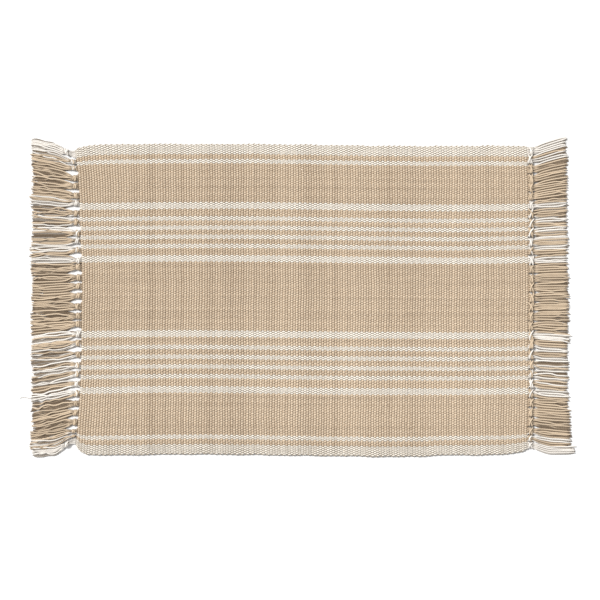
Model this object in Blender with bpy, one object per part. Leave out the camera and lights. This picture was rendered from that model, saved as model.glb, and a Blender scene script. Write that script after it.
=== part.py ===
"""Flat-woven bath mat: warp stripes over one hidden weft cord, tied into tassels at both ends.

Frame: metres, +Z up. The warp runs along X and the weft along Y. The origin is at the middle of
the overall length and width, on the surface that the mat lies on.

The warp is packed so tightly that it hides the weft. Each colour stripe is a slab of warp with one
slot through it, and the weft runs back and forth through all the slots in line. At both ends the
warp leaves the weave in equal groups, and each group is knotted and left long as a tassel.
"""

import bmesh
import bpy

# Driving dimensions
CREAM_PITCH = 0.00194  # width that one cream warp end takes in the weave
# Width that one tan warp end takes: the weave is denser towards the back
TAN_PITCH = {"front": 0.001965, "centre": 0.001886, "back": 0.00177}
RIB_PITCH = 0.00418  # from one pick of the weft to the next
PICKS = 172
FELL = 0.0020  # warp closed together past the last pick, at each end
WARP_COVER = 0.0010  # warp above the weft, and the same below it
WEFT_THICKNESS = 0.0022
WEFT_WIDTH = 0.0032
WEFT_TURN = 0.0015  # how far the weft's turns stand out of the selvedges
GAP = 0.0003  # between pieces that touch

ENDS_PER_TASSEL = 8
TASSELS_PER_GROUP = 3
FRINGE_LOW = 0.076  # fringe length at the -X end
FRINGE_HIGH = 0.064  # fringe length at the +X end
SPLAY = 0.034  # how much wider the fringe is at its tips, as a share of the width
KNOT_HALF_WIDTH = {"low": 0.0050, "high": 0.0058}  # the +X end's knots are flatter and wider

# A tassel's profile: distance from the weave, half width as a share of its knot's, and lowest and
# highest points. None for a half width means the tassel's full share of the mat's width, and None
# for a distance its tip.
HEADING = 0.0010
TASSEL_PROFILE = (
    (HEADING, 1.14, 0.0010, 0.0040),  # leaves the weave
    (0.0022, 0.82, 0.0010, 0.0042),  # drawn together
    (0.0028, 1.00, 0.0000, 0.0056),  # knot
    (0.0090, 1.00, 0.0000, 0.0056),
    (0.0100, 0.78, 0.0004, 0.0046),  # throat below the knot
    (0.0260, None, 0.0000, 0.0044),  # fanned out
    (None, None, 0.0000, 0.0038),
)

# The stripes from the middle panel to one selvedge: name, number of warp ends, yarn
CENTRE_ENDS = 58
HALF_STRIPES = (
    ("cream_band_inner", 6, "cream"),
    ("tan_gap_inner", 6, "tan"),
    ("cream_line_1", 4, "cream"),
    ("tan_gap_1", 4, "tan"),
    ("cream_line_2", 4, "cream"),
    ("tan_gap_2", 4, "tan"),
    ("cream_line_3", 4, "cream"),
    ("tan_gap_3", 4, "tan"),
    ("cream_line_4", 4, "cream"),
    ("tan_gap_outer", 6, "tan"),
    ("cream_band_outer", 6, "cream"),
    ("tan_panel", 34, "tan"),
    ("cream_line_edge", 4, "cream"),
    ("tan_border", 4, "tan"),
    ("cream_selvedge", 9, "cream"),
)

YARN_COLOUR = {
    "cream": (0.78, 0.73, 0.64, 1.0),
    "tan": (0.52, 0.41, 0.28, 1.0),
    "weft": (0.60, 0.50, 0.37, 1.0),
}
YARN_ROUGHNESS = 0.9

# Worked out from the driving dimensions
THICKNESS = 2 * (WARP_COVER + GAP) + WEFT_THICKNESS
BODY_LENGTH = PICKS * RIB_PITCH + 2 * FELL
BODY_LOW = (FRINGE_LOW - FRINGE_HIGH - BODY_LENGTH) / 2
BODY_HIGH = BODY_LOW + BODY_LENGTH


def clear_scene():
    for obj in list(bpy.data.objects):
        bpy.data.objects.remove(obj, do_unlink=True)


def yarn_material(yarn):
    material = bpy.data.materials.new(f"{yarn}_yarn")
    material.use_nodes = True
    shader = material.node_tree.nodes["Principled BSDF"]
    shader.inputs["Base Color"].default_value = YARN_COLOUR[yarn]
    shader.inputs["Roughness"].default_value = YARN_ROUGHNESS
    shader.inputs["Metallic"].default_value = 0.0
    return material


def add_quad(bm, corners):
    bm.faces.new([bm.verts.new(corner) for corner in corners])


def add_object(name, bm, material):
    """Welds the quads' shared corners, turns all faces out and links the finished piece."""
    bmesh.ops.remove_doubles(bm, verts=bm.verts, dist=1e-6)
    bmesh.ops.recalc_face_normals(bm, faces=bm.faces)
    mesh = bpy.data.meshes.new(name)
    bm.to_mesh(mesh)
    bm.free()
    mesh.materials.append(material)
    obj = bpy.data.objects.new(name, mesh)
    bpy.context.scene.collection.objects.link(obj)
    return obj


def half_stripes(side):
    """One half's stripes from the middle outward: name, warp ends, yarn, width of one end."""
    pitch = {"cream": CREAM_PITCH, "tan": TAN_PITCH[side]}
    return [(f"{name}_{side}", ends, yarn, pitch[yarn]) for name, ends, yarn in HALF_STRIPES]


def stripe_list():
    """Every stripe from the front selvedge (-Y) to the back one."""
    centre = ("tan_centre_panel", CENTRE_ENDS, "tan", TAN_PITCH["centre"])
    return [*reversed(half_stripes("front")), centre, *half_stripes("back")]


def end_edges(stripes):
    """The Y of the line between each warp end and the next, both selvedges included."""
    widths = [pitch for _, ends, _, pitch in stripes for _ in range(ends)]
    edges = [-sum(widths) / 2]
    for width in widths:
        edges.append(edges[-1] + width)
    return edges


def warp_stripe(name, low_y, high_y, material):
    """A slab of warp along X, with the slot along Y that the weft runs through."""
    margin = (RIB_PITCH - WEFT_WIDTH) / 2 + FELL - GAP
    slot_z = WARP_COVER
    outer = (
        (BODY_LOW, 0.0),
        (BODY_HIGH, 0.0),
        (BODY_HIGH, THICKNESS),
        (BODY_LOW, THICKNESS),
    )
    inner = (
        (BODY_LOW + margin, slot_z),
        (BODY_HIGH - margin, slot_z),
        (BODY_HIGH - margin, THICKNESS - slot_z),
        (BODY_LOW + margin, THICKNESS - slot_z),
    )
    bm = bmesh.new()
    for i in range(4):
        j = (i + 1) % 4
        for ring in (outer, inner):
            (xa, za), (xb, zb) = ring[i], ring[j]
            add_quad(bm, ((xa, low_y, za), (xb, low_y, zb), (xb, high_y, zb), (xa, high_y, za)))
        for y in (low_y, high_y):
            (xa, za), (xb, zb) = outer[i], outer[j]
            (xc, zc), (xd, zd) = inner[j], inner[i]
            add_quad(bm, ((xa, y, za), (xb, y, zb), (xc, y, zc), (xd, y, zd)))
    return add_object(name, bm, material)


def weft_outline(half_width):
    """The outline of the whole weft seen from above: out along one side, back along the other."""
    inner_y = half_width + GAP
    outer_y = half_width + WEFT_TURN
    left, right = [], []
    for pick in range(PICKS):
        middle = BODY_LOW + FELL + (pick + 0.5) * RIB_PITCH
        low, high = middle - WEFT_WIDTH / 2, middle + WEFT_WIDTH / 2
        if pick % 2 == 0:  # runs towards +Y, then turns right
            start_left, start_right, end_left, end_right = -inner_y, -outer_y, outer_y, inner_y
            left_x, right_x = low, high
        else:
            start_left, start_right, end_left, end_right = outer_y, inner_y, -inner_y, -outer_y
            left_x, right_x = high, low
        if pick == 0:
            start_left, start_right = -outer_y, -outer_y
        if pick == PICKS - 1:
            end_left, end_right = (outer_y, outer_y) if pick % 2 == 0 else (-outer_y, -outer_y)
        left += [(left_x, start_left), (left_x, end_left)]
        right += [(right_x, start_right), (right_x, end_right)]
    return left + right[::-1]


def weft(half_width, material):
    low_z = WARP_COVER + GAP
    bm = bmesh.new()
    outline = [bm.verts.new((x, y, low_z)) for x, y in weft_outline(half_width)]
    base = bm.faces.new(outline)
    top = bmesh.ops.extrude_face_region(bm, geom=[base])["geom"]
    moved = [part for part in top if isinstance(part, bmesh.types.BMVert)]
    bmesh.ops.translate(bm, verts=moved, vec=(0.0, 0.0, WEFT_THICKNESS))
    return add_object("weft", bm, material)


def tassel_rings(low_y, high_y, x_at, length, knot_half_width):
    """The cross-sections of one tassel, from the heading to its tip."""
    rings = []
    for distance, share, low_z, high_z in TASSEL_PROFILE:
        out = length if distance is None else distance
        spread = 1 + SPLAY * (out - HEADING) / (length - HEADING)
        low, high = low_y * spread, high_y * spread
        if share is not None:
            middle = (low + high) / 2
            low, high = middle - share * knot_half_width, middle + share * knot_half_width
        x = x_at(out)
        rings.append(((x, low, low_z), (x, high, low_z), (x, high, high_z), (x, low, high_z)))
    return rings


def tassel_group(name, edges, x_at, length, knot_half_width, material):
    """Neighbouring tassels on the strip of warp, the heading, that they leave the weave from."""
    _, _, low_z, high_z = TASSEL_PROFILE[0]
    tassels = [
        tassel_rings(low + GAP / 2, high - GAP / 2, x_at, length, knot_half_width)
        for low, high in zip(edges, edges[1:])
    ]
    necks = [(rings[0][0][1], rings[0][1][1]) for rings in tassels]
    stops = [edges[0] + GAP / 2, *[y for neck in necks for y in neck], edges[-1] - GAP / 2]
    x_in, x_out = x_at(GAP), x_at(HEADING)
    bm = bmesh.new()
    for a, b in zip(stops, stops[1:]):
        for z in (low_z, high_z):
            add_quad(bm, ((x_in, a, z), (x_in, b, z), (x_out, b, z), (x_out, a, z)))
        faces_x = (x_in,) if (a, b) in necks else (x_in, x_out)
        for x in faces_x:
            add_quad(bm, ((x, a, low_z), (x, b, low_z), (x, b, high_z), (x, a, high_z)))
    for y in (stops[0], stops[-1]):
        add_quad(bm, ((x_in, y, low_z), (x_out, y, low_z), (x_out, y, high_z), (x_in, y, high_z)))
    for rings in tassels:
        for near, far in zip(rings, rings[1:]):
            for i in range(4):
                j = (i + 1) % 4
                add_quad(bm, (near[i], near[j], far[j], far[i]))
        add_quad(bm, rings[-1])
    return add_object(name, bm, material)


def fringe(side, edges, x_at, length, material_at):
    """All the tassels of one end of the mat, in groups from the front to the back."""
    tassel_edges = edges[::ENDS_PER_TASSEL]
    groups = (len(tassel_edges) - 1) // TASSELS_PER_GROUP
    for group in range(groups):
        start = group * TASSELS_PER_GROUP
        part = tassel_edges[start : start + TASSELS_PER_GROUP + 1]
        name = f"fringe_{side}_{group + 1:02d}"
        material = material_at((part[0] + part[-1]) / 2)
        tassel_group(name, part, x_at, length, KNOT_HALF_WIDTH[side], material)


def build():
    clear_scene()
    materials = {yarn: yarn_material(yarn) for yarn in YARN_COLOUR}
    stripes = stripe_list()
    edges = end_edges(stripes)
    spans, first = [], 0
    for name, ends, yarn, _ in stripes:
        low_y, high_y = edges[first], edges[first + ends]
        warp_stripe(name, low_y + GAP / 2, high_y - GAP / 2, materials[yarn])
        spans.append((low_y, high_y, materials[yarn]))
        first += ends
    weft(edges[-1], materials["weft"])

    def material_at(y):
        return next(material for low, high, material in spans if low <= y <= high)

    fringe("low", edges, lambda out: BODY_LOW - out, FRINGE_LOW, material_at)
    fringe("high", edges, lambda out: BODY_HIGH + out, FRINGE_HIGH, material_at)


build()
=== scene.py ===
"""Looks of the flat-woven bath mat: every warp end, the weft cord and all the tassels' yarns.

Metres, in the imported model's frame: the warp runs along X, the weft along Y, and +Z is up. Each
stripe of the CAD model is replaced by its own warp ends, the CAD weft by one round cord that runs
back and forth between them, and each CAD fringe group by its knotted yarns. Everything is drawn
from one seeded generator, so each run gives the same mat.
"""

import math

import bpy
import numpy as np
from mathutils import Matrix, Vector


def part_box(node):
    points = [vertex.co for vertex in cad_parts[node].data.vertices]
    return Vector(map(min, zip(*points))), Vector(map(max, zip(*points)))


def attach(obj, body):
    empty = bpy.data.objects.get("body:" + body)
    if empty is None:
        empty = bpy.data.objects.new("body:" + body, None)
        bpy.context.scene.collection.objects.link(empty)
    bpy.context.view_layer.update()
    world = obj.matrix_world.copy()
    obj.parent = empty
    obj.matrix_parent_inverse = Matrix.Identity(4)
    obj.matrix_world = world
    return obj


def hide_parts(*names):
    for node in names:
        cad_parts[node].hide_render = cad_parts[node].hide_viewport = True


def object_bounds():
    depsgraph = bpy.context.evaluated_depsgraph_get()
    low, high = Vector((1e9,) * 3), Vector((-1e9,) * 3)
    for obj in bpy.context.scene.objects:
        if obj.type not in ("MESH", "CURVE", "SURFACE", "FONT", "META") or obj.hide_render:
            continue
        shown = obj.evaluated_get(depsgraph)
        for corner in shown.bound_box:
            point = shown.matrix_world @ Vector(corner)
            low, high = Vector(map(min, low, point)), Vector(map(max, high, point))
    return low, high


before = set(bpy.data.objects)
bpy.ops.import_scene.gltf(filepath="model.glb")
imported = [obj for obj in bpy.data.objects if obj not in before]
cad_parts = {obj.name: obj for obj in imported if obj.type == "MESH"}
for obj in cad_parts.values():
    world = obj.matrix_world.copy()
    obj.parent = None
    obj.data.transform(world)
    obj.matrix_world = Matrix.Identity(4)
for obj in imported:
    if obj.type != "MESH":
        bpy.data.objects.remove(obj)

cad_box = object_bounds()
random = np.random.default_rng(20261117)

# The weave
STRIPE_ENDS = {  # warp ends by how a stripe's name starts; every other stripe has 4
    "tan_centre_panel": 58,
    "tan_panel": 34,
    "cream_selvedge": 9,
    "cream_band": 6,
    "tan_gap_inner": 6,
    "tan_gap_outer": 6,
}
STRIPE_GAP = 0.0003  # between the CAD stripes
DRAWN_IN = 0.0005  # how far a cream stripe is drawn in on each side, beside a tan one
RIB_PITCH = 0.00418  # from one pick of the weft to the next
FELL = 0.0020  # warp past the last pick, at each end
CREST = 0.00168  # an end's centreline above the cloth's middle, where it crosses over a pick
CREST_HALF_HEIGHT = 0.00068
CROSSING_HALF_HEIGHT = 0.00088
CREST_HALF_WIDTH = {"cream": 0.60, "tan": 0.90}  # as a share of the end's pitch
CROSSING_HALF_WIDTH = 0.58
SHOULDER = {"cream": 0.38, "tan": 0.19}  # where a crest ends, as a share of the rib pitch
CROSSING_RISE = {"cream": 0.0010, "tan": 0.0}  # how far above the middle the ends cross
BEAT_UNEVEN = 0.00012  # how unevenly the picks are beaten together
RIBS_VARY = 0.07  # how much the ribs' thickness varies
BEAD_ASIDE = 0.00005  # how much single crests vary: along Y, upwards, and in width
BEAD_RISE = 0.00007
BEAD_WIDER = 0.05
END_DIP = 0.12  # how far an end dips past the last picks, as a share of a crest
HEADING = 0.9 * FELL  # the stretch past the last pick where the ends lie straight
WEFT_HALF_WIDTH = 0.0016
WEFT_HALF_HEIGHT = 0.0011
WEFT_TURN = 0.0006  # how far the middle of a weft turn stands out of the selvedge
TURN_HALF_WIDTH = 0.0009
TURN_FROM = 0.0013  # how far inside the selvedge a turn begins
TURNS_VARY = 0.00018
TURN_THICKER = 0.12
STRAIGHT_POINTS = 26  # along one pick
TURN_POINTS = 8
MAX_ENDS = 30  # warp ends in one visual piece

# The tassels
ENDS_PER_TASSEL = 8
YARN_RADIUS = 0.00122
YARN_RADII_VARY = 0.05
YARN_START = -0.0008  # how far past the edge of the weave a tassel yarn's tube begins
STATION = 0.00135  # spacing of the rings along a tassel yarn
PLY_LOBE = 0.13  # how far the two plies stand out of a round section
PLY_TWIST = 0.0075  # length of one full turn of the plies
KNOT_START = 0.0004  # how far outside the weave a knot begins
KNOT_STAGGER = 0.0005  # how much that varies
KNOT_STAGGER_RANGE = (-0.0008, 0.0013)
MOST_ASIDE = 1.7  # limit on how far a knot sits to one side, in standard deviations
KNOT_HALF_HEIGHT = 0.0018  # from the tassel's middle to the wrapping yarn's
KNOT_HEIGHT = 0.0031  # its middle above the floor
KNOT_TOP = 0.0060  # where the yarn round it is palest, with no painted shade
KNOTS_VARY = 0.10  # how much the knots' size varies
COIL_TURNS_VARY = 0.25
WRAP_POINTS = 16  # rings for each turn of a wrap
WRAP_TUCK = 0.45  # how far a wrap's two ends are tucked in, as a share of the knot
WRAP_ENDS = 9  # each end is one part in this many of the wrap
WRAP_SWELL = 0.12  # how much wider the wrap is in its middle than at its ends
DRAWN_FROM = 0.0020  # how far inside the weave the ends begin to close up to their knot
DRAWING_CURVE = 1.25  # above 1, they close up late
PACKED_RADIUS = 0.0009  # of a yarn inside the knot
SWELLS_OVER = 0.006  # past its knot, a yarn swells to its full thickness over this length
FREE_OVER = 0.004  # is free to move aside
SINKS_OVER = 0.010  # and sinks to its layer
FANS_OVER = 0.002  # the least length that a tassel fans out over
TIP_LENGTH = 0.006  # the length that a yarn thins out over, at its tip
TIP_THINNING = 0.4
LEAN_SHARE = 0.3  # of the wander, that makes whole tassels lean
STRAY_SHARE = 0.6  # and that makes single yarns stray
LEAN_CURVE = 0.9  # their growth along the tassel: below 1 at once, above 1 late
STRAY_CURVE = 1.4
WAVES = (1.3, 2.6, 4.3)  # number of waves along a yarn
WAVES_FULL = 0.2  # share of the yarn after which they have their full size
UPPER_LAYER = 2.3  # height of the tassels' upper yarns over the floor, in yarn radii
GAP_ALLOWED = 0.85  # spacing of neighbouring yarns, in their diameters, before they draw together
DRAWN_OVER = 0.010  # past the point where a tassel has fanned out, over which they begin to do so
CROSSING_BOW = 0.0022  # how far the turn across a knot is bent

# Moving the tassels' yarns clear of one another
PARTING_ROUNDS = 90
SMOOTHING_ROUNDS = 8
NEIGHBOURS = 10  # how many yarns on each side a yarn is kept clear of
KEPT_CLEAR = 0.96  # share of a yarn's radius that others are kept out of
PUSH = 0.30
PULL = 0.30
HOLD_Y = 0.04  # how strongly a yarn is drawn back to where it was meant to lie
HOLD_Z = 0.08
STIFFNESS = 0.20
LAST_STIFFNESS = 0.25

# The thread that has worked loose
LOOSE_THREAD_TASSEL = 6  # counted along +Y
LOOSE_THREAD_LENGTH = 0.049
LOOSE_THREAD_FROM = 0.030  # how far inside the fringe's tips it begins
LOOSE_THREAD_Y = -0.1560
LOOSE_THREAD_RADIUS = 0.00045
LOOSE_THREAD_POINTS = 24

# Where the real mat lies away from the straight lines of its weave
LOW_BOW = (0.0040, -0.0098)  # shift of the low end's edge: in the middle, and added at the corners
HIGH_BOW = (0.0008, -0.0016)
BOW_REACH = 0.10
# Corner: side in X, side in Y, how far the selvedge is pulled in, and over what length it recovers
CORNERS = (
    (-1, -1, 0.0175, 0.0085),
    (-1, 1, 0.0085, 0.0110),
    (1, 1, 0.0010, 0.0250),
    (1, -1, 0.0095, 0.0240),
)
CORNER_WIDTH = 0.050  # how far in from the selvedge a pulled corner reaches
CORNER_RELEASE = 0.040  # how far out along the fringe it is felt
EDGE_FADE = 0.02  # how far outside the weave its wavering is felt
SELVEDGE_SQUEEZE = {-1: 0.0022, 1: 0.0011}  # how much narrower the two selvedges are
SQUEEZED_FROM = 0.228  # distance from the mat's middle line where the squeeze begins
SQUEEZED_OVER = 0.022  # and the width that it grows over
ASKEW = 0.0018  # the stripes run uphill, then downhill, by this much
ASKEW_LENGTH = 0.33  # length along X of each of the two
DRAG = 0.0012  # near +X, all but the frontmost stripes lie this much further to the front
DRAG_FROM = (0.15, -0.25)  # X and Y where that begins
DRAG_OVER = (0.12, 0.15)  # and the lengths that it grows over
CORNER_DRAG = 0.0018  # and more so at the +X end of the back stripes
CORNER_DRAG_FROM = 0.27
CORNER_DRAG_OVER = 0.08
CORNER_DRAG_Y = 0.205
CORNER_DRAG_REACH = 0.04
STRIPE_SPREAD = 0.0010  # some stripes lie a little closer together than others, towards the back
STRIPE_SPREAD_LENGTH = 0.23  # length across the mat over which that repeats
PICK_WAVER = 0.0005  # how far the picks of the weft waver along X, over long stretches
PICK_RIPPLE = 0.00022  # and over short ones
STRIPE_WAVER = 0.0004  # how far the stripes waver along Y
SELVEDGE_WAVE = 0.0007  # how far the selvedges do
LONG_LIFT = 0.00018  # half of how far the cloth rises off the floor, over long stretches
SHORT_LIFT = 0.00012  # and over short ones
LOWEST = 0.0001  # nothing sinks lower than this over the floor
# Dents in the selvedges: where along X, which side in Y, how deep and how long
DENTS = ((-0.16, 1, 0.0012, 0.05), (0.245, -1, 0.0018, 0.045))

# Tones: about 0 is the deep colour and about 1 the pale one
VALLEY_PAINTED_SHADE = {"cream": 0.02, "tan": 0.42}  # painted shade: how much deeper an end's tone is where it dives between its crests
FLANK_PAINTED_SHADE = {"cream": 0.60, "tan": 0.10}  # painted shade: how much deeper its flanks are
CREST_TONE = {"cream": 1.04, "tan": 0.68}
YARNS_VARY = 0.10  # how much the yarns differ from one another
ENDS_DIFFER = {"cream": 0.5, "tan": 1.0}  # how much of that shows in the weave
SELVEDGE_STRIPE_TONE = 0.22  # how much deeper the selvedges' cream is than the other creams
DRIFT = {"cream": 0.16, "tan": 0.0}  # how much paler the stripes get from the middle to +Y
SELVEDGE_PAINTED_SHADE = 0.9  # painted shade: how much deeper the outermost ends are on their outer side
FURROW_PAINTED_SHADE = 0.10  # and painted shade: how much deeper the furrows between two plies are
RIDGE_LEVEL = 0.6  # from -1 in a furrow to 1 on a ply: where the tone is neither paler nor deeper
UNDERSIDE_FADE = 1.2  # how soon a tube's shade fades away below its middle
TONE_RANGE = (-0.4, 1.15)
HEADING_PAINTED_SHADE = 0.75  # painted shade: how much deeper the last of the weave is, where the ends leave it
RIB_TONES_VARY = 0.11
BEAD_PAINTED_LIGHT = 0.09  # painted light: how much paler a crest that stands higher is
SLOW_TONE = 0.02  # how fast the tone drifts along an end
MOST_SLOW_TONE = 0.12
WEFT_TONE = 0.5
WEFT_DRIFT = 0.25  # how far the tone drifts along the weft
WEFT_DRIFT_STEP = 0.11  # the phase from one ring of it to the next, in radians
TURN_PAINTED_SHADE = 1.2  # painted shade: how much deeper the turns of the weft are
KNOTTED_PAINTED_SHADE = 0.45  # and painted shade: how much deeper the yarns drawn into a knot and inside it are
TASSELS_DIFFER = 1.4  # how much of the difference between yarns shows in the tassels
TASSEL_DRIFT = 0.08  # how far the tone drifts along a tassel yarn
DRIFT_LENGTH = 5  # the phase that it goes through, in radians
# painted shade on the flanks of the tassels' yarns
TASSEL_FLANK_PAINTED_SHADE = 0.85
WRAP_TONE = 1.08
WRAP_PAINTED_SHADE = 1.06  # painted shade: how much deeper the wraps are at the knot's sides than on top
# painted shade on the sides of the wraps' yarn that face along the knot
WRAP_FLANK_PAINTED_SHADE = 0.4
LOOSE_THREAD_TONE = 0.25

# Colours
CREAM_PALE = (0.95, 0.893, 0.802, 1.0)
CREAM_DEEP = (0.43, 0.367, 0.288, 1.0)
TAN_PALE = (0.745, 0.60, 0.44, 1.0)
TAN_DEEP = (0.36, 0.26, 0.17, 1.0)
# The tassels' deep colours are dark: their yarns reach them only under painted shade
TASSEL_CREAM_PALE = (0.95, 0.90, 0.83, 1.0)
TASSEL_CREAM_DEEP = (0.22, 0.18, 0.14, 1.0)
TASSEL_TAN_PALE = (0.72, 0.57, 0.405, 1.0)
TASSEL_TAN_DEEP = (0.12, 0.080, 0.048, 1.0)
WEFT_PALE = (0.62, 0.55, 0.46, 1.0)
WEFT_DEEP = (0.34, 0.28, 0.21, 1.0)

# How much the tone, the mottling, the fibres and the plies add to the share of the pale colour; the
# plies' share is painted shade in the furrows between them
TONE_WEIGHT = 0.62
MOTTLE_WEIGHT = 0.30
FIBRE_WEIGHT = 0.28
PLY_SHADE_WEIGHT = 0.16
FIBRE_RELIEF = 0.35  # and the fibres and the plies to the bump
PLY_RELIEF = 0.75

# The studio
CAMERA_PLACE = (0.0, 0.00096, 2.680)
LIGHT_TOWARDS = (0.62, -0.42, -0.80)
LIGHT_STRENGTH = 3.5
LIGHT_ANGLE = math.radians(14.0)
SKY_STRENGTH = 0.44
FLOOR_HALF_SIZE = 20.0


# ---------------------------------------------------------------- camera, light and floor


def add_camera():
    """A long lens straight above the mat, with +X to the right and +Y up the picture."""
    data = bpy.data.cameras.new("camera")
    data.sensor_width = 36.0
    data.lens = 100.0
    data.clip_end = 50.0
    camera = bpy.data.objects.new("camera", data)
    camera.location = CAMERA_PLACE
    bpy.context.scene.collection.objects.link(camera)
    bpy.context.scene.camera = camera


def add_light():
    """Soft light from the upper left, under an even white sky."""
    world = bpy.data.worlds.new("studio")
    world.use_nodes = True
    background = world.node_tree.nodes["Background"]
    background.inputs["Color"].default_value = (1.0, 1.0, 1.0, 1.0)
    background.inputs["Strength"].default_value = SKY_STRENGTH
    bpy.context.scene.world = world
    data = bpy.data.lights.new("softbox", "SUN")
    data.energy = LIGHT_STRENGTH
    data.angle = LIGHT_ANGLE
    light = bpy.data.objects.new("softbox", data)
    towards = Vector(LIGHT_TOWARDS)
    light.rotation_mode = "QUATERNION"
    light.rotation_quaternion = towards.to_track_quat("-Z", "Y")
    light.location = -2.0 * towards
    bpy.context.scene.collection.objects.link(light)
    bpy.context.scene.view_settings.view_transform = "Standard"


def add_floor():
    mesh = bpy.data.meshes.new("floor")
    size = FLOOR_HALF_SIZE
    corners = [(-size, -size, 0.0), (size, -size, 0.0), (size, size, 0.0), (-size, size, 0.0)]
    mesh.from_pydata(corners, [], [(0, 1, 2, 3)])
    material = bpy.data.materials.new("pale_floor")
    material.use_nodes = True
    shader = material.node_tree.nodes["Principled BSDF"]
    shader.inputs["Base Color"].default_value = (0.93, 0.93, 0.93, 1.0)
    shader.inputs["Roughness"].default_value = 0.8
    shader.inputs["Specular IOR Level"].default_value = 0.1
    mesh.materials.append(material)
    floor = bpy.data.objects.new("floor", mesh)
    bpy.context.scene.collection.objects.link(floor)


# ---------------------------------------------------------------- materials


def yarn_material(name, pale, deep, ply_bands):
    """Matt cotton yarn. The tone attribute varies from yarn to yarn and carries the tubes' painted
    shade and light; noise adds the fibres, and ply_bands from 0 to 1 draws the slanted furrows
    between the plies on smooth tubes, as painted shade in the colour and as bump."""
    material = bpy.data.materials.new(name)
    material.use_nodes = True
    nodes = material.node_tree.nodes
    links = material.node_tree.links
    shader = nodes["Principled BSDF"]
    shader.inputs["Sheen Weight"].default_value = 0.15
    shader.inputs["Sheen Roughness"].default_value = 0.6
    shader.inputs["Specular IOR Level"].default_value = 0.25
    place = nodes.new("ShaderNodeTexCoord")

    fibre_space = nodes.new("ShaderNodeMapping")
    fibre_space.inputs["Scale"].default_value = (0.22, 1.0, 1.0)
    links.new(place.outputs["Object"], fibre_space.inputs["Vector"])
    fibres = nodes.new("ShaderNodeTexNoise")
    fibres.inputs["Scale"].default_value = 3200.0
    fibres.inputs["Detail"].default_value = 3.0
    links.new(fibre_space.outputs["Vector"], fibres.inputs["Vector"])

    mottle = nodes.new("ShaderNodeTexNoise")
    mottle.inputs["Scale"].default_value = 420.0
    mottle.inputs["Detail"].default_value = 2.0
    links.new(place.outputs["Object"], mottle.inputs["Vector"])

    ply_space = nodes.new("ShaderNodeMapping")
    ply_space.inputs["Rotation"].default_value = (0.0, 0.0, math.radians(52.0))
    links.new(place.outputs["Object"], ply_space.inputs["Vector"])
    plies = nodes.new("ShaderNodeTexWave")
    plies.inputs["Scale"].default_value = 170.0
    plies.inputs["Distortion"].default_value = 1.2
    plies.inputs["Detail"].default_value = 1.0
    links.new(ply_space.outputs["Vector"], plies.inputs["Vector"])

    tone = nodes.new("ShaderNodeAttribute")
    tone.attribute_name = "tone"

    def weighted(value, weight, added=None):
        """The output value * weight, plus another output if one is given."""
        node = nodes.new("ShaderNodeMath")
        node.operation = "MULTIPLY_ADD"
        links.new(value, node.inputs[0])
        node.inputs[1].default_value = weight
        node.inputs[2].default_value = 0.0
        if added is not None:
            links.new(added, node.inputs[2])
        return node.outputs[0]

    shade = weighted(tone.outputs["Fac"], TONE_WEIGHT)
    shade = weighted(mottle.outputs["Fac"], MOTTLE_WEIGHT, shade)
    shade = weighted(fibres.outputs["Fac"], FIBRE_WEIGHT, shade)
    # Painted shade: the ply bands deepen the furrows between the plies
    shade = weighted(plies.outputs["Fac"], PLY_SHADE_WEIGHT * ply_bands, shade)
    colour = nodes.new("ShaderNodeMix")
    colour.data_type = "RGBA"
    colour.inputs["A"].default_value = deep
    colour.inputs["B"].default_value = pale
    links.new(shade, colour.inputs["Factor"])
    links.new(colour.outputs["Result"], shader.inputs["Base Color"])

    roughness = nodes.new("ShaderNodeMapRange")
    roughness.inputs["To Min"].default_value = 0.98
    roughness.inputs["To Max"].default_value = 0.80
    links.new(fibres.outputs["Fac"], roughness.inputs["Value"])
    links.new(roughness.outputs["Result"], shader.inputs["Roughness"])

    relief = weighted(fibres.outputs["Fac"], FIBRE_RELIEF)
    relief = weighted(plies.outputs["Fac"], PLY_RELIEF * ply_bands, relief)
    bump = nodes.new("ShaderNodeBump")
    bump.inputs["Strength"].default_value = 0.7
    bump.inputs["Distance"].default_value = 0.00022
    links.new(relief, bump.inputs["Height"])
    links.new(bump.outputs["Normal"], shader.inputs["Normal"])
    return material


# ---------------------------------------------------------------- tubes and meshes


def smoothstep(value):
    value = np.clip(value, 0.0, 1.0)
    return value * value * (3.0 - 2.0 * value)


def unit(vectors):
    return vectors / np.linalg.norm(vectors, axis=-1, keepdims=True)


def tube_frames(paths, reference):
    """The side and up directions along many paths, square to the path."""
    along = unit(np.gradient(paths, axis=-2))
    side = unit(np.cross(np.broadcast_to(reference, along.shape), along))
    return side, np.cross(along, side)


CAPS = {  # corners of the quads that close a ring, by its number of sides
    6: ((0, 1, 2, 3), (0, 3, 4, 5)),
    8: ((0, 1, 2, 3), (0, 3, 4, 7), (4, 5, 6, 7)),
}


def tube_quads(tubes, rings, sides):
    """Corner numbers of the walls and end caps of closed tubes with 6 or 8 sides, all of them
    quads that face outwards."""
    ring = np.arange(rings - 1)[:, None]
    corner = np.arange(sides)[None, :]
    near, far = ring * sides, (ring + 1) * sides
    following = (corner + 1) % sides
    walls = np.stack([near + corner, near + following, far + following, far + corner], axis=-1)
    cap = np.array(CAPS[sides])
    ends = np.concatenate([cap[:, ::-1], cap + (rings - 1) * sides])
    one = np.concatenate([walls.reshape(-1, 4), ends])
    offsets = np.arange(tubes)[:, None, None] * rings * sides
    return (one[None] + offsets).reshape(-1, 4)


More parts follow.
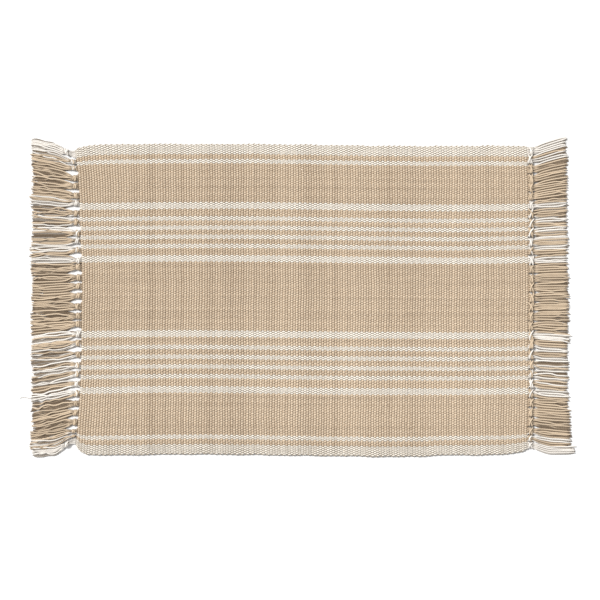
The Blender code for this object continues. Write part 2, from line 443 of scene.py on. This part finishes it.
def plied_tubes(paths, radii, tones, reference=(0.0, 0.0, 1.0), phase=0.0, flank_shade=0.0, shade=0.0):
    """Tubes of two twisted plies: points as (tubes, rings, 8, 3), and tones as (tubes, rings, 8),
    which carry painted shade: deeper in the furrows between the plies, by flank_shade at the
    sides, and by the shade of each ring everywhere but underneath."""
    side, up = tube_frames(paths, np.array(reference))
    steps = np.linalg.norm(np.diff(paths, axis=-2), axis=-1)
    length = np.concatenate([np.zeros_like(steps[..., :1]), np.cumsum(steps, axis=-1)], axis=-1)
    twist = 2 * math.pi * length / PLY_TWIST + phase
    angle = (np.arange(8) * math.pi / 4)[None, None, :]
    ridge = np.cos(2 * (angle - twist[..., None]))
    radius = radii[..., None] * (1 + PLY_LOBE * ridge)
    across = (radius * np.cos(angle))[..., None] * side[:, :, None, :]
    above = (radius * np.sin(angle))[..., None] * up[:, :, None, :]
    rise = np.sin(angle)
    # Painted shade: in the furrows between the plies, on the flanks, and from each ring's shade,
    # fading out underneath
    tones = tones[..., None] + FURROW_PAINTED_SHADE * (ridge - RIDGE_LEVEL) - flank_shade * (1 - np.abs(rise))
    tones = tones - np.asarray(shade)[..., None] * np.clip(1 + UNDERSIDE_FADE * rise, 0.0, 1.0)
    return paths[:, :, None, :] + across + above, tones


def add_piece(name, parts, materials, replaced):
    """Joins parts, each of points (tubes, rings, sides, 3), tones (tubes, rings, sides) and
    material numbers (tubes), into one smooth-shaded piece that rides on the mat."""
    points, quads, tones, numbers, first = [], [], [], [], 0
    for part_points, part_tones, part_numbers in parts:
        tubes, rings, sides, _ = part_points.shape
        corners = tube_quads(tubes, rings, sides)
        quads.append(corners + first)
        first += tubes * rings * sides
        points.append(part_points.reshape(-1, 3))
        tones.append(part_tones.reshape(-1))
        numbers.append(np.repeat(part_numbers, len(corners) // tubes))
    points, quads = np.concatenate(points), np.concatenate(quads)
    mesh = bpy.data.meshes.new(name)
    mesh.vertices.add(len(points))
    mesh.vertices.foreach_set("co", settle(points).astype(np.float32).ravel())
    mesh.loops.add(quads.size)
    mesh.loops.foreach_set("vertex_index", quads.astype(np.int32).ravel())
    mesh.polygons.add(len(quads))
    mesh.polygons.foreach_set("loop_start", np.arange(len(quads), dtype=np.int32) * 4)
    mesh.polygons.foreach_set("material_index", np.concatenate(numbers).astype(np.int32))
    for material in materials:
        mesh.materials.append(material)
    mesh.update(calc_edges=True)
    mesh.shade_smooth()
    tone = mesh.attributes.new("tone", "FLOAT", "POINT")
    tone.data.foreach_set("value", np.clip(np.concatenate(tones), *TONE_RANGE).astype(np.float32))
    piece = bpy.data.objects.new(name, mesh)
    bpy.context.scene.collection.objects.link(piece)
    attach(piece, "root")
    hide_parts(replaced)
    return piece


# ---------------------------------------------------------------- the mat's places


def stripes_in_frame():
    """The CAD stripes from the -Y selvedge to the other: node name, yarn, low Y and high Y."""
    found = []
    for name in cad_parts:
        if name != "weft" and not name.startswith("fringe"):
            low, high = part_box(name)
            found.append((low[1], high[1], name, "cream" if name.startswith("cream") else "tan"))
    return sorted(found)


STRIPES = stripes_in_frame()
body_low, body_high = (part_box(STRIPES[0][2])[side][0] for side in (0, 1))
half_width = (STRIPES[-1][1] - STRIPES[0][0]) / 2
mid_height = (cad_box[0][2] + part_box(STRIPES[0][2])[1][2]) / 2
fringe_low = body_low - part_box("fringe_low_06")[0][0]
fringe_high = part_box("fringe_high_06")[1][0] - body_high
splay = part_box("fringe_high_11")[1][1] / half_width
RIBS = round((body_high - body_low - 2 * FELL) / RIB_PITCH)


def ends_in(stripe):
    return next((ends for start, ends in STRIPE_ENDS.items() if stripe.startswith(start)), 4)


def warp_edges():
    """The Y of the line between each warp end and the next, both selvedges included."""
    sides = [low_y - STRIPE_GAP / 2 for low_y, _, _, _ in STRIPES]
    sides.append(STRIPES[-1][1] + STRIPE_GAP / 2)
    for place in range(1, len(STRIPES)):
        sides[place] += DRAWN_IN if STRIPES[place][3] == "cream" else -DRAWN_IN
    edges = [sides[0]]
    for low_edge, high_edge, stripe in zip(sides, sides[1:], STRIPES):
        edges.extend(np.linspace(low_edge, high_edge, ends_in(stripe[2]) + 1)[1:])
    return np.array(edges)


end_edges = warp_edges()
end_middles = (end_edges[1:] + end_edges[:-1]) / 2
end_yarn = [yarn for _, _, name, yarn in STRIPES for _ in range(ends_in(name))]
end_tone = random.normal(0.0, YARNS_VARY, len(end_yarn))
tassel_of = np.arange(len(end_yarn)) // ENDS_PER_TASSEL
place_of = np.arange(len(end_yarn)) % ENDS_PER_TASSEL
tassel_edges = end_edges[::ENDS_PER_TASSEL]
tassel_middles = (tassel_edges[1:] + tassel_edges[:-1]) / 2


# How far the tips lean along Y, by where the tassel leaves the mat along Y
LOW_LEAN = (
    (-0.25, 0.0075),
    (-0.205, -0.006),
    (-0.16, -0.012),
    (-0.11, -0.009),
    (-0.05, -0.004),
    (0.05, -0.004),
    (0.10, -0.003),
    (0.15, 0.0),
    (0.20, 0.004),
    (0.25, 0.0025),
)
HIGH_LEAN = (
    (-0.25, 0.0105),
    (-0.21, 0.002),
    (-0.15, 0.0),
    (0.15, 0.0),
    (0.22, 0.0085),
    (0.25, 0.0080),
)

# How much further than the CAD's the tips reach, by where the tassel leaves the mat along Y
LOW_REACH = ((0.0, 0.0),)
HIGH_REACH = (
    (-0.25, 0.0075),
    (-0.205, 0.0040),
    (-0.16, -0.0010),
    (-0.03, -0.0005),
    (0.25, -0.0035),
)

# What sets the two fringes apart: the low one is loose and tangled, the high one combed straight.
#   outward, edge, length: its way along X, where it leaves the weave, and how far it hangs out
#   lean, reach: the tables above
#   late, jitter: how much further out the corner knots sit, and how far knots sit to one side
#   packing: from one yarn to the next in a knot
#   knot_length, half_width, turns, wrap_radius: of the coil round a knot
#   tilt, corner: slant of the coil, and size of the corner knots
#   wander, wave: how far the tassels and yarns stray along Y, and the size of the waves in them
#   mixing: how many places a yarn moves aside within its knot
#   fan_end, uneven: how far out a tassel is fanned out, and how much that varies
#   trim: how unevenly the tips are cut
#   strays: share of the yarns that lie in the wrong layer
#   depth, tone: how much deeper the lowest yarns are, as painted shade, and the tone of the highest
FRINGES = {
    "low": dict(
        outward=-1.0, edge=body_low, length=fringe_low, lean=LOW_LEAN, reach=LOW_REACH,
        late=0.0095, jitter=0.0013, packing=0.0020,
        knot_length=0.0080, half_width=0.0041, turns=2.1, wrap_radius=0.0014,
        tilt=0.55, corner=1.22, wander=0.0050, wave=0.00095, mixing=2.4,
        fan_end=0.0205, uneven=0.0040, trim=0.0012, strays=0.06, depth=2.25, tone=1.06,
    ),
    "high": dict(
        outward=1.0, edge=body_high, length=fringe_high, lean=HIGH_LEAN, reach=HIGH_REACH,
        late=0.0008, jitter=0.0009, packing=0.0025,
        knot_length=0.0055, half_width=0.0068, turns=1.8, wrap_radius=0.0013,
        tilt=0.85, corner=0.92, wander=0.0023, wave=0.00060, mixing=1.2,
        fan_end=0.0165, uneven=0.0025, trim=0.0012, strays=0.02, depth=2.1, tone=1.12,
    ),
}


def tie_knots(late, jitter):
    """Each tassel's knot: how far out it starts, and its Y. The corner knots sit further out."""
    count = len(tassel_middles)
    out = KNOT_START + random.normal(0.0, KNOT_STAGGER, count).clip(*KNOT_STAGGER_RANGE)
    out[[0, -1]] += late
    aside = random.normal(0.0, 1.0, count).clip(-MOST_ASIDE, MOST_ASIDE)
    return out, tassel_middles + jitter * aside


KNOTS = {side: tie_knots(kind["late"], kind["jitter"]) for side, kind in FRINGES.items()}


def draw_to_knot(side, out, number, y):
    """Y of the numbered ends, out metres past the edge of the weave, on their way to the knot, and
    how far they have closed up, from 0 to 1."""
    knot_out, knot_y = KNOTS[side]
    tassel = tassel_of[number][:, None]
    closing = (out + DRAWN_FROM) / (knot_out[tassel] + DRAWN_FROM)
    closing = closing.clip(0, 1) ** DRAWING_CURVE
    pair = place_of[number][:, None] // 2 - (ENDS_PER_TASSEL / 2 - 1) / 2
    packed = knot_y[tassel] + pair * FRINGES[side]["packing"]
    return y * (1 - closing) + packed * closing, closing


def settle(points):
    """Moves points of the straight weave to where the real, softer mat lies. The wave numbers, in
    radians per metre, and the phases are arbitrary."""
    x, y, z = points[..., 0].copy(), points[..., 1].copy(), points[..., 2].copy()
    across = np.clip(np.abs(y) / half_width, 0.0, 1.05)
    side_y = np.sign(y)
    moved_x, moved_y = np.zeros_like(x), np.zeros_like(y)

    # The ends bow, and each fringe follows its end
    for edge, outward, bow, tip in (
        (body_low, -1.0, LOW_BOW, fringe_low),
        (body_high, 1.0, HIGH_BOW, fringe_high),
    ):
        out = (x - edge) * outward
        hold = np.where(out < 0, 1 - smoothstep(-out / BOW_REACH), 1 - smoothstep(out / tip))
        moved_x += hold * (bow[0] + bow[1] * across**2)

    # The weave wavers
    inside = smoothstep((x - body_low) / EDGE_FADE + 1)
    inside = inside * smoothstep((body_high - x) / EDGE_FADE + 1)
    moved_x += inside * PICK_WAVER * np.sin(y * 41.0 + 0.7 * np.sin(x * 19.0) + 0.4)
    moved_x += inside * PICK_RIPPLE * np.sin(y * 133.0 + 2.1 * np.sin(x * 37.0))
    edge_wave = 0.5 * np.sin(x * 83.0 + 1.0) + 0.35 * np.sin(x * 151.0) + 0.3 * np.sin(x * 29.0)
    edge_wave = np.where(side_y > 0, edge_wave, -edge_wave)
    moved_y += inside * side_y * across**6 * SELVEDGE_WAVE * edge_wave
    moved_y += inside * STRIPE_WAVER * np.sin(x * 13.0 + y * 9.0) * (1 - across**8)

    # The stripes lie askew and unevenly spaced
    moved_y -= ASKEW * np.sin(x * math.pi / ASKEW_LENGTH) * inside
    drag = DRAG * smoothstep((x - DRAG_FROM[0]) / DRAG_OVER[0])
    moved_y -= drag * smoothstep((y - DRAG_FROM[1]) / DRAG_OVER[1])
    spread = STRIPE_SPREAD * (0.55 + 0.45 * y / half_width)
    moved_y += spread * np.cos(y * math.tau / STRIPE_SPREAD_LENGTH)
    hold = np.exp(-(((y - CORNER_DRAG_Y) / CORNER_DRAG_REACH) ** 2))
    moved_y -= CORNER_DRAG * smoothstep((x - CORNER_DRAG_FROM) / CORNER_DRAG_OVER) * hold

    # The selvedges are drawn in, dented, and pulled in at the corners
    squeeze = np.where(side_y > 0, SELVEDGE_SQUEEZE[1], SELVEDGE_SQUEEZE[-1])
    moved_y -= side_y * squeeze * ((np.abs(y) - SQUEEZED_FROM) / SQUEEZED_OVER).clip(0, 1)
    for place, dent_y, depth, reach in DENTS:
        hold = np.exp(-(((x - place) / reach) ** 2))
        moved_y -= dent_y * depth * hold * np.where(side_y == dent_y, across, 0.0) ** 5
    for side_x, corner_y, pull, reach in CORNERS:
        edge = body_low if side_x < 0 else body_high
        out = (x - edge) * side_x
        released = 1 - smoothstep(out / CORNER_RELEASE)
        hold = np.where(out < 0, np.exp(np.minimum(out, 0) / reach), released)
        hold *= smoothstep((y * corner_y - (half_width - CORNER_WIDTH)) / CORNER_WIDTH)
        moved_y -= corner_y * pull * hold

    lift = LONG_LIFT * (1 + np.sin(x * 21.0 + 1.3) * np.sin(y * 27.0 + 0.5))
    lift += SHORT_LIFT * (1 + np.sin(x * 47.0 - y * 31.0))
    z = np.maximum(z + inside * lift, LOWEST)
    return np.stack([x + moved_x, y + moved_y, z], axis=-1)


# ---------------------------------------------------------------- the weave


def rib_places():
    """The middle of every pick of the weft, a little unevenly beaten."""
    even = body_low + FELL + (np.arange(RIBS) + 0.5) * RIB_PITCH
    uneven = random.normal(0.0, BEAT_UNEVEN, RIBS)
    return even + uneven


rib_x = rib_places()
rib_thickness = 1 + random.normal(0.0, RIBS_VARY, RIBS)
rib_tone = random.normal(0.0, RIB_TONES_VARY, RIBS)


def warp_rings(shoulder):
    """Along one end: X, height as a share of the crest's, fullness of the crest, and its pick."""
    before = np.concatenate([[body_low + FELL], (rib_x[1:] + rib_x[:-1]) / 2])
    sign = np.where(np.arange(RIBS) % 2 == 0, 1.0, -1.0)
    x = np.stack([before, rib_x - shoulder * RIB_PITCH, rib_x + shoulder * RIB_PITCH], axis=1)
    height = np.stack([sign * 0, sign * rib_thickness, sign * rib_thickness], axis=1)
    full = np.tile([0.0, 1.0, 1.0], (RIBS, 1))
    pick = np.repeat(np.arange(RIBS), 3)
    low_end = np.array([body_low, body_low + FELL * 0.5])
    high_end = np.array([body_high - FELL, body_high - FELL * 0.5, body_high])
    x = np.concatenate([low_end, x.ravel(), high_end])
    height = np.concatenate([[0, -END_DIP], height.ravel(), [0, -END_DIP * sign[-1], 0]])
    full = np.concatenate([[0, 0], full.ravel(), [0, 0, 0]])
    pick = np.concatenate([[0, 0], pick, [RIBS - 1] * 3])
    return x, height, full, pick


def warp_ends(number, yarn):
    """Points and tones of the numbered warp ends."""
    x, height, full, pick = warp_rings(SHOULDER[yarn])
    count, rings = len(number), len(x)
    pitch = (end_edges[number + 1] - end_edges[number])[:, None]
    over = np.where(number % 2 == 0, 1.0, -1.0)[:, None]
    bead = random.normal(0.0, 1.0, (3, count, RIBS))[:, :, pick]
    y = end_middles[number][:, None] + bead[0] * BEAD_ASIDE * full
    y, _ = draw_to_knot("low", body_low - x[None, :], number, y)
    y, _ = draw_to_knot("high", x[None, :] - body_high, number, y)
    in_heading = (x < body_low + HEADING) | (x > body_high - HEADING)
    rise = CROSSING_RISE[yarn] * (1 - full) * ~in_heading
    z = mid_height + over * height * (CREST + bead[1] * BEAD_RISE) + rise
    half_w = pitch * (CROSSING_HALF_WIDTH + (CREST_HALF_WIDTH[yarn] - CROSSING_HALF_WIDTH) * full)
    half_w = half_w * (1 + bead[2] * BEAD_WIDER * full)
    half_h = CROSSING_HALF_HEIGHT + (CREST_HALF_HEIGHT - CROSSING_HALF_HEIGHT) * full
    angle = np.arange(6) * math.pi / 3
    xs = np.broadcast_to(x[None, :, None], (count, rings, 6))
    ys = y[..., None] + half_w[..., None] * np.cos(angle)
    zs = z[..., None] + (half_h[:, None] * np.sin(angle) / math.sin(math.pi / 3))[None]
    points = np.stack([xs, ys, zs], axis=-1)
    slow = np.cumsum(random.normal(0.0, SLOW_TONE, (count, rings)), axis=1)
    tones = CREST_TONE[yarn] + ENDS_DIFFER[yarn] * end_tone[number][:, None] + rib_tone[pick]
    # Painted light: a crest that stands higher is paler
    tones = tones + BEAD_PAINTED_LIGHT * bead[1] + np.clip(slow, -MOST_SLOW_TONE, MOST_SLOW_TONE)
    # Painted shade: an end is deeper between its crests
    tones = tones - VALLEY_PAINTED_SHADE[yarn] * (1 - full)
    tones = tones + DRIFT[yarn] * (end_middles[number] / half_width)[:, None]
    from_edge = np.minimum(number, len(end_yarn) - 1 - number)
    tones = tones - SELVEDGE_STRIPE_TONE * (from_edge < STRIPE_ENDS["cream_selvedge"])[:, None]
    # Painted shade: the heading, where the ends leave the weave, is deeper
    tones = tones - HEADING_PAINTED_SHADE * in_heading
    # Painted shade: the flanks of each end are deeper
    tones = tones[..., None] - FLANK_PAINTED_SHADE[yarn] * np.cos(angle) ** 4
    # Painted shade: the outermost ends are deeper on their outer side
    outer = np.where(number == len(end_yarn) - 1, 1.0, 0.0) - np.where(number == 0, 1.0, 0.0)
    return points, tones - SELVEDGE_PAINTED_SHADE * np.maximum(outer[:, None, None] * np.cos(angle), 0.0)


def add_warp():
    """One or more visual pieces for each CAD stripe, with every warp end in it."""
    pieces, first = [], 0
    for _, _, name, yarn in STRIPES:
        numbers = first + np.arange(ends_in(name))
        shares = np.array_split(numbers, math.ceil(len(numbers) / MAX_ENDS))
        for share, letter in zip(shares, "abcdef"):
            piece_name = f"{name}_yarns" if len(shares) == 1 else f"{name}_yarns_{letter}"
            parts = [(*warp_ends(share, yarn), np.zeros(len(share), dtype=int))]
            pieces.append(add_piece(piece_name, parts, [WARP[yarn]], name))
        first += len(numbers)
    return pieces


def add_weft():
    """The weft as one cord, with its turns showing at both selvedges."""
    arc_middle = half_width - TURN_FROM
    arc = np.linspace(-math.pi / 2, math.pi / 2, TURN_POINTS)
    straight = np.linspace(-arc_middle, arc_middle, STRAIGHT_POINTS)
    path, width, height = [], [], []
    for pick in range(RIBS):
        way = 1 if pick % 2 == 0 else -1
        path += [(rib_x[pick], way * y) for y in straight]
        width += [WEFT_HALF_WIDTH] * len(straight)
        height += [WEFT_HALF_HEIGHT] * len(straight)
        if pick < RIBS - 1:
            middle = (rib_x[pick] + rib_x[pick + 1]) / 2
            half_x = (rib_x[pick + 1] - rib_x[pick]) / 2
            stand = half_width + WEFT_TURN - arc_middle + random.normal(0.0, TURNS_VARY)
            for angle in arc[1:-1]:
                bulge = math.cos(angle)
                path.append((middle + half_x * math.sin(angle), way * (arc_middle + stand * bulge)))
                width.append(WEFT_HALF_WIDTH + (TURN_HALF_WIDTH - WEFT_HALF_WIDTH) * bulge)
                height.append(WEFT_HALF_HEIGHT * (1 + TURN_THICKER * bulge))
    path = np.array([(x, y, mid_height) for x, y in path])[None]
    side, up = tube_frames(path, np.array((0.0, 0.0, 1.0)))
    angle = np.arange(8) * math.pi / 4
    across = np.array(width)[None, :, None] * np.cos(angle)
    above = np.array(height)[None, :, None] * np.sin(angle)
    points = path[:, :, None, :] + across[..., None] * side[:, :, None, :]
    points = points + above[..., None] * up[:, :, None, :]
    tones = WEFT_TONE + WEFT_DRIFT * np.sin(np.arange(path.shape[1]) * WEFT_DRIFT_STEP)
    # Painted shade: the turns of the weft are deeper
    tones = tones - TURN_PAINTED_SHADE * (np.array(width) < WEFT_HALF_WIDTH)
    tones = np.repeat(tones[None, :, None], 8, axis=2)
    parts = [(points, tones, np.zeros(1, dtype=int))]
    return add_piece("weft_cord", parts, [WEFT], "weft")


# ---------------------------------------------------------------- the tassels


def part_strands(y, z, radius, free, drawn):
    """Pushes strands that overlap apart, station by station, draws neighbours with a gap between
    them together where drawn is 1, and keeps them all near where they were and smoothly bent.
    Only strands that are free, 1 rather than 0, move. Every array is (strands, stations)."""
    wanted_y, wanted_z = y.copy(), z.copy()
    station = np.arange(y.shape[1])[None, :]

    def ease(paths, stiffness):
        """Straightens the paths a little, and lets their tips follow."""
        for path in paths:
            bend = path[:, :-2] + path[:, 2:] - 2 * path[:, 1:-1]
            path[:, 1:-1] += free[:, 1:-1] * stiffness * bend
            path[:, -1] = 1.5 * path[:, -2] - 0.5 * path[:, -3]

    for _ in range(PARTING_ROUNDS):
        order = np.argsort(y, axis=0)
        push_y, push_z = np.zeros_like(y), np.zeros_like(z)
        for reach in range(1, NEIGHBOURS + 1):
            one, other = order[:-reach], order[reach:]
            gap_y = y[other, station] - y[one, station]
            gap_z = z[other, station] - z[one, station]
            distance = np.maximum(np.hypot(gap_y, gap_z), 1e-6)
            touching = radius[one, station] + radius[other, station]
            share = PUSH * np.maximum(touching - distance, 0.0) / distance
            push_y[one, station] -= share * gap_y
            push_z[one, station] -= share * gap_z
            push_y[other, station] += share * gap_y
            push_z[other, station] += share * gap_z
            if reach == 1:
                spare = np.maximum(gap_y - GAP_ALLOWED * touching, 0.0)
                pull = PULL * spare * np.minimum(drawn[one, station], drawn[other, station])
                push_y[one, station] += pull
                push_y[other, station] -= pull
        y += free * (push_y + HOLD_Y * (wanted_y - y))
        z += free * (push_z + HOLD_Z * (wanted_z - z))
        ease((y, z), STIFFNESS)
        ease((y,), STIFFNESS)
        np.maximum(z, radius, out=z)
    for _ in range(SMOOTHING_ROUNDS):
        ease((y, z), LAST_STIFFNESS)
    return y, z


def tassel_yarns(side):
    """All yarns of one fringe: their paths, their radii and how much of a knot they are in."""
    kind = FRINGES[side]
    length = kind["length"]
    out = np.concatenate([[YARN_START], np.arange(0.0, length, STATION), [length]])[None, :]
    ends, tassels = len(end_yarn), len(tassel_middles)
    number = np.arange(ends)
    knot_out, _ = KNOTS[side]
    knot_end = (knot_out[tassel_of] + kind["knot_length"])[:, None]
    past_knot = out - knot_end

    # Into the knot, in two rows
    y, closing = draw_to_knot(side, out, number, end_middles[:, None])
    row = np.where(number % 2 == 0, 1.0, -1.0)[:, None] * PACKED_RADIUS
    z = mid_height + (KNOT_HEIGHT - mid_height + row) * closing

    # Out of the knot, in an order mixed up a little
    order = place_of + random.normal(0.0, kind["mixing"], ends)
    rank = np.concatenate([
        np.argsort(np.argsort(order[first : first + ENDS_PER_TASSEL]))
        for first in range(0, ends, ENDS_PER_TASSEL)
    ])
    share = np.diff(tassel_edges)[tassel_of] / ENDS_PER_TASSEL
    near_y = tassel_middles[tassel_of] + (rank - (ENDS_PER_TASSEL - 1) / 2) * share
    lean = np.interp(tassel_middles, *zip(*kind["lean"]))
    lean += random.normal(0.0, kind["wander"] * LEAN_SHARE, tassels)
    stray = random.normal(0.0, kind["wander"] * STRAY_SHARE, ends)[:, None]
    lean = (near_y * (splay - 1) + lean[tassel_of])[:, None]
    reach = (past_knot / (length - knot_end)).clip(0, 1)
    open_y = near_y[:, None] + lean * reach**LEAN_CURVE + stray * reach**STRAY_CURVE
    for waves in WAVES:
        phase = random.uniform(0, 2 * math.pi, ends)[:, None]
        size = kind["wave"] * random.normal(0.0, 1.0, ends)[:, None] / math.sqrt(waves)
        wave = np.sin(2 * math.pi * waves * reach + phase)
        open_y += size * wave * smoothstep(reach / WAVES_FULL)
    opens = kind["fan_end"] + kind["uneven"] * random.uniform(-1.0, 1.0, tassels)
    opens = opens[tassel_of][:, None]
    fan = smoothstep(past_knot / (opens - knot_end + FANS_OVER))
    y = y * (1 - fan) + open_y * fan
    lower = (rank + (random.random(ends) < kind["strays"])) % 2 == 0
    layer = np.where(lower, 1.0, UPPER_LAYER)[:, None] * YARN_RADIUS
    drop = smoothstep(past_knot / SINKS_OVER)
    z = z * (1 - drop) + layer * drop

    tight = closing * (1 - smoothstep(past_knot / SWELLS_OVER))
    radius = YARN_RADIUS * (1 - tight) + PACKED_RADIUS * tight
    radius = radius * (1 + random.normal(0.0, YARN_RADII_VARY, ends))[:, None]
    radius *= 1 - TIP_THINNING * smoothstep((out - length + TIP_LENGTH) / TIP_LENGTH)
    free = np.broadcast_to(smoothstep(past_knot / FREE_OVER), y.shape)
    drawn = smoothstep((out - opens) / DRAWN_OVER)
    y, z = part_strands(y, z, radius * KEPT_CLEAR, free, drawn)
    z = np.maximum(z, radius * (1 + PLY_LOBE))

    # The tips are trimmed unevenly
    tip = np.interp(tassel_middles, *zip(*kind["reach"]))
    tip += random.normal(0.0, kind["trim"], tassels)
    tip = (tip[tassel_of] + random.normal(0.0, kind["trim"], ends))[:, None]
    along = out + tip * (out / length).clip(0, 1) ** 3
    return np.stack([kind["edge"] + kind["outward"] * along, y, z], axis=-1), radius, tight


def knot_wraps(side, tassel):
    """The wraps of one tassel's knot: a coil round the drawn-together yarns, and a turn across it.
    Each is a path and its radii."""
    kind = FRINGES[side]
    knot_out, knot_y = (values[tassel] for values in KNOTS[side])
    at_corner = tassel in (0, len(tassel_middles) - 1)
    size = kind["corner"] if at_corner else random.uniform(1 - KNOTS_VARY, 1 + KNOTS_VARY)
    tilt = kind["tilt"] * random.uniform(0.5, 1.0) * random.choice((-1.0, 1.0))
    coil_turns = kind["turns"] + random.uniform(-COIL_TURNS_VARY, COIL_TURNS_VARY)
    coil_begin = random.uniform(0, 2 * math.pi)
    bow = math.copysign(CROSSING_BOW, tilt)
    wraps = []
    # Turns and where they begin, the stretch of the knot that they cover, their slant, their width
    # as a share of the knot's, how far they stand over it, and how far they are bent
    for turns, begin, first, last, slant, wide, stand, bend in (
        (coil_turns, coil_begin, 0.12, 0.88, 0.5 * tilt, 1.0, 0.0, 0.0),
        (1.1, -0.6 * math.pi, 0.40, 0.60, -0.6 * tilt, 0.92, 0.0008, bow),
    ):
        angle = np.linspace(0, 2 * math.pi * turns, round(WRAP_POINTS * turns))
        share = angle / angle[-1]
        at_ends = 1 - smoothstep(share * WRAP_ENDS) + smoothstep((share - 1) * WRAP_ENDS + 1)
        tuck = 1 - WRAP_TUCK * at_ends
        swell = size * (1 - WRAP_SWELL / 2 + WRAP_SWELL * np.sin(math.pi * share)) * tuck
        angle = angle + begin
        y_off = kind["half_width"] * wide * swell * np.cos(angle)
        z_off = (KNOT_HALF_HEIGHT + stand) * swell * np.sin(angle)
        out = knot_out + kind["knot_length"] * (first + (last - first) * share) + slant * y_off
        out += bend * (np.sin(angle) ** 2 - 0.5)
        x = kind["edge"] + kind["outward"] * out
        radius = kind["wrap_radius"] * (0.75 + 0.25 * tuck)
        z = np.maximum(KNOT_HEIGHT * size + z_off, radius * (1 + PLY_LOBE))
        wraps.append((np.stack([x, knot_y + y_off, z], axis=-1)[None], radius[None]))
    return wraps


def loose_thread():
    """The path, radii and tones of the thin thread that has worked loose at the low fringe's tips.
    It slopes down from the tassel's upper side to the floor."""
    share = np.linspace(0.0, 1.0, LOOSE_THREAD_POINTS)
    x = body_low - fringe_low + LOOSE_THREAD_FROM - LOOSE_THREAD_LENGTH * share
    y = LOOSE_THREAD_Y + 0.0012 * np.sin(share * 9.0) - 0.0010 * share
    z = 0.0032 - 0.0024 * smoothstep((share - 0.45) * 3) + 0.0003 * np.sin(share * 13.0)
    even = np.ones((1, LOOSE_THREAD_POINTS))
    path = np.stack([x, y, z], axis=-1)[None]
    return path, LOOSE_THREAD_RADIUS * even, LOOSE_THREAD_TONE * even


def add_fringe(side):
    """The yarns and knots of every CAD fringe group at one end."""
    kind = FRINGES[side]
    paths, radii, tight = tassel_yarns(side)
    colour = np.array([0 if yarn == "cream" else 1 for yarn in end_yarn])
    phase = random.uniform(0, 2 * math.pi, len(paths))[:, None]
    drift = np.sin(np.linspace(0, DRIFT_LENGTH, paths.shape[1])[None, :] + phase)
    tones = kind["tone"] + TASSELS_DIFFER * end_tone[:, None] + TASSEL_DRIFT * drift
    # Painted shade: the yarns drawn into a knot and inside it are deeper
    tones = tones - KNOTTED_PAINTED_SHADE * tight
    # Painted shade: the lower a yarn lies below the upper layer, the deeper it is, by the fringe's
    # depth
    shade = kind["depth"] * np.maximum(1 - paths[..., 2] / (UPPER_LAYER * YARN_RADIUS), 0.0)
    points, tones = plied_tubes(
        paths, radii, tones, phase=phase, flank_shade=TASSEL_FLANK_PAINTED_SHADE, shade=shade
    )
    # Painted shade on the sides of the wraps' yarn that face along the knot
    wrap_flank_shade = WRAP_FLANK_PAINTED_SHADE * np.sin(np.arange(8) * math.pi / 4) ** 2
    pieces = []
    groups = sorted(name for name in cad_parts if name.startswith(f"fringe_{side}"))
    tassels_per_group = len(tassel_middles) // len(groups)
    for group, node in enumerate(groups):
        tassels = range(group * tassels_per_group, (group + 1) * tassels_per_group)
        members = slice(tassels[0] * ENDS_PER_TASSEL, (tassels[-1] + 1) * ENDS_PER_TASSEL)
        parts = [(points[members], tones[members], colour[members])]
        for tassel in tassels:
            for path, path_radii in knot_wraps(side, tassel):
                chosen = tassel * ENDS_PER_TASSEL + int(random.integers(ENDS_PER_TASSEL))
                path_tones = np.full(path_radii.shape, WRAP_TONE + end_tone[chosen])
                wrap, tone = plied_tubes(path, path_radii, path_tones, reference=(1.0, 0.0, 0.0))
                # Painted shade: the wraps are deeper at the knot's sides than on top and underneath
                height = np.abs(wrap[..., 2] - KNOT_HEIGHT) / (KNOT_TOP - KNOT_HEIGHT)
                tone = tone - WRAP_PAINTED_SHADE * np.maximum(1 - height, 0.0) - wrap_flank_shade
                parts.append((wrap, tone, colour[chosen : chosen + 1]))
            if side == "low" and tassel == LOOSE_THREAD_TASSEL:
                parts.append((*plied_tubes(*loose_thread()), [0]))
        name = node.replace("fringe", "tassels")
        pieces.append(add_piece(name, parts, [TASSEL["cream"], TASSEL["tan"]], node))
    return pieces


# ---------------------------------------------------------------- making the scene


WARP = {
    "cream": yarn_material("cream_warp", CREAM_PALE, CREAM_DEEP, 1.0),
    "tan": yarn_material("tan_warp", TAN_PALE, TAN_DEEP, 1.0),
}
TASSEL = {
    "cream": yarn_material("cream_tassel", TASSEL_CREAM_PALE, TASSEL_CREAM_DEEP, 0.0),
    "tan": yarn_material("tan_tassel", TASSEL_TAN_PALE, TASSEL_TAN_DEEP, 0.0),
}
WEFT = yarn_material("weft_cotton", WEFT_PALE, WEFT_DEEP, 0.5)

add_camera()
add_light()
add_floor()
warp = add_warp()
tassels = add_fringe("low") + add_fringe("high")
weft = add_weft()
